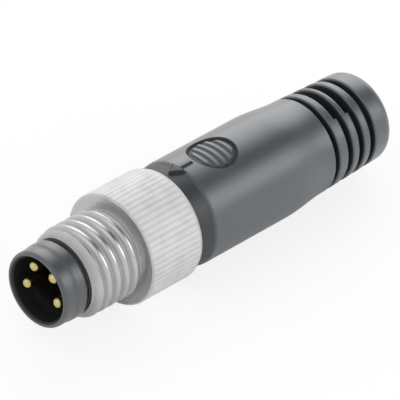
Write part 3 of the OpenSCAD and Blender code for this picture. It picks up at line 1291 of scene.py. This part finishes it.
@dataclass(frozen=True)
class SkyPatch:
    """A round part of the sky that adds its level.

    It starts where the cosine of the angle to its middle is edge, and all of it is there from full on.
    """

    azimuth: float
    elevation: float
    edge: float
    full: float
    level: float

    def light(self, nodes: Nodes, way: bpy.types.NodeSocket) -> Value:
        """What the patch adds to the sky in a direction."""
        return nodes.dot(way, direction(self.azimuth, self.elevation)).rise(self.edge, self.full) * self.level


@dataclass
class Studio:
    """Pale floor, soft light and camera.

    The sky is brighter behind the connector, and darker high up and low down beyond the cable's end. The
    lamps are a large one behind, a smaller one at the front right, and a fill beyond the pins.
    """

    aim_mm: tuple[float, float, float] = (15.53, 0.045, 0.041)
    azimuth: float = -48.22
    elevation: float = 35.83
    roll: float = 4.43
    distance: float = 0.45
    lens: float = 491.0
    sensor: float = 36.0
    clip: tuple[float, float] = (0.01, 20.0)
    floor_half: float = 6.0
    floor_tone: Tone = (0.8, 0.8, 0.79)
    white_level: float = 1.02
    shadow_in_view: float = 0.2
    shadow_in_gloss: float = 1.0
    sky_level: float = 0.8
    patches: tuple[SkyPatch, ...] = (
        SkyPatch(azimuth=140.0, elevation=25.0, edge=0.3, full=0.8, level=0.1),
        SkyPatch(azimuth=72.0, elevation=51.0, edge=0.86, full=0.97, level=-0.75),
        SkyPatch(azimuth=88.0, elevation=12.0, edge=0.6, full=0.95, level=-0.2),
    )
    lamps: tuple[Softbox, ...] = (
        Softbox("back_softbox", azimuth=126.0, elevation=30.0, distance=0.7,
                width=0.55, height=0.55, watts=1.25),
        Softbox("side_softbox", azimuth=42.0, elevation=28.0, distance=0.7,
                width=0.35, height=0.36, watts=0.76),
        Softbox("front_fill", azimuth=-102.0, elevation=16.0, distance=0.8,
                width=0.5, height=0.5, watts=0.35),
    )

    def floor(self) -> None:
        """A wide floor at the lowest point. It looks white and keeps the shadow."""
        half, low = self.floor_half, CAD_BOX[0][2]
        mesh = bpy.data.meshes.new("floor")
        mesh.from_pydata([(-half, -half, low), (half, -half, low), (half, half, low), (-half, half, low)],
                         [], [(0, 1, 2, 3)])
        plate = add_object("floor", mesh)
        material = bpy.data.materials.new("floor")
        material.use_nodes = True
        nodes = Nodes(material.node_tree)
        path = nodes.add("ShaderNodeLightPath").outputs
        camera, gloss = Value(nodes, path["Is Camera Ray"]), Value(nodes, path["Is Glossy Ray"])
        gloss = gloss.bigger(Value(nodes, path["Is Transmission Ray"]))
        lit = nodes.add("ShaderNodeBsdfDiffuse", None, {"Color": (*self.floor_tone, 1.0)}).outputs[0]
        seen = self.white(nodes, self.shadow_in_gloss)
        mix = nodes.add("ShaderNodeMixShader", None, {0: gloss, 1: lit, 2: seen})
        seen = self.white(nodes, self.shadow_in_view)
        mix = nodes.add("ShaderNodeMixShader", None, {0: camera, 1: mix.outputs[0], 2: seen})
        nodes.add("ShaderNodeOutputMaterial", None, {"Surface": mix.outputs[0]})
        mesh.materials.append(material)

    def white(self, nodes: Nodes, shadow: float) -> bpy.types.NodeSocket:
        """A surface that is white in the open and keeps a share of its shadows.

        Args:
            nodes: The nodes of the floor's material.
            shadow: The share, from 0 to 1.

        Returns:
            A lit part and a glow that makes up the rest.
        """
        lit = nodes.add("ShaderNodeBsdfDiffuse", None, {"Color": (shadow, shadow, shadow, 1.0)})
        glow = nodes.add("ShaderNodeEmission", None, {"Color": WHITE, "Strength": self.white_level - shadow})
        return nodes.add("ShaderNodeAddShader", None, {0: lit.outputs[0], 1: glow.outputs[0]}).outputs[0]

    def sky(self) -> None:
        """An even sky with its patches. It looks white."""
        world = bpy.data.worlds.new("studio")
        bpy.context.scene.world = world
        world.use_nodes = True
        nodes = Nodes(world.node_tree)
        way = nodes.add("ShaderNodeTexCoord").outputs["Generated"]
        level = sum((patch.light(nodes, way) for patch in self.patches), start=self.sky_level)
        camera = Value(nodes, nodes.add("ShaderNodeLightPath").outputs["Is Camera Ray"])
        strength = camera + (1 - camera) * level.bigger(0.0)
        shader = nodes.add("ShaderNodeBackground", None, {"Color": WHITE, "Strength": strength})
        nodes.add("ShaderNodeOutputWorld", None, {"Surface": shader.outputs[0]})

    def camera(self) -> None:
        """A long lens from the front left, looking down."""
        data = bpy.data.cameras.new("camera")
        data.lens, data.sensor_width = self.lens, self.sensor
        data.clip_start, data.clip_end = self.clip
        holder = bpy.data.objects.new("camera", data)
        bpy.context.collection.objects.link(holder)
        way = direction(self.azimuth, self.elevation)
        holder.location = Vector(self.aim_mm) * MM + way * self.distance
        turn = way.to_track_quat("Z", "Y") @ Quaternion((0.0, 0.0, 1.0), math.radians(self.roll))
        holder.rotation_euler = turn.to_euler()
        bpy.context.scene.camera = holder

    def build(self) -> None:
        """Sets up the studio."""
        self.floor()
        self.sky()
        for lamp in self.lamps:
            lamp.build(Vector(self.aim_mm) * MM)
        self.camera()
        bpy.context.scene.view_settings.view_transform = "Standard"


def main() -> None:
    """Builds the connector and the studio."""
    logging.basicConfig(level=logging.INFO)
    # the recess fields of these finishes set the painted shade in the moulding's recesses and inside the cup
    soft = MouldedFinish(Slot.SOFT_MOULDING, tone=(0.048, 0.06, 0.072), roughness=0.38, recess_shade_share=0.95,
                         recess_shade_factor=0.2, skin=1.0)
    insulator = CupFinish(Slot.INSULATOR, tone=(0.042, 0.049, 0.058), roughness=0.38, grain_per_m=12000.0,
                          grain_depth_mm=0.003, recess_shade_share=0.95, recess_shade_factor=0.15, skin=1.0, skin_ior=1.7)
    hard = MouldedFinish(Slot.HARD_MOULDING, tone=(0.022, 0.022, 0.024), roughness=0.5)
    pins = ContactPins()
    CouplingScrew().build(NickelFinish())
    pins.build(GoldFinish())
    ContactCarrier().build(insulator, pins)
    InnerMoulding().build(hard)
    GripBody(SurfaceMarks()).build(soft)
    Studio().build()


if __name__ == "__main__":
    main()
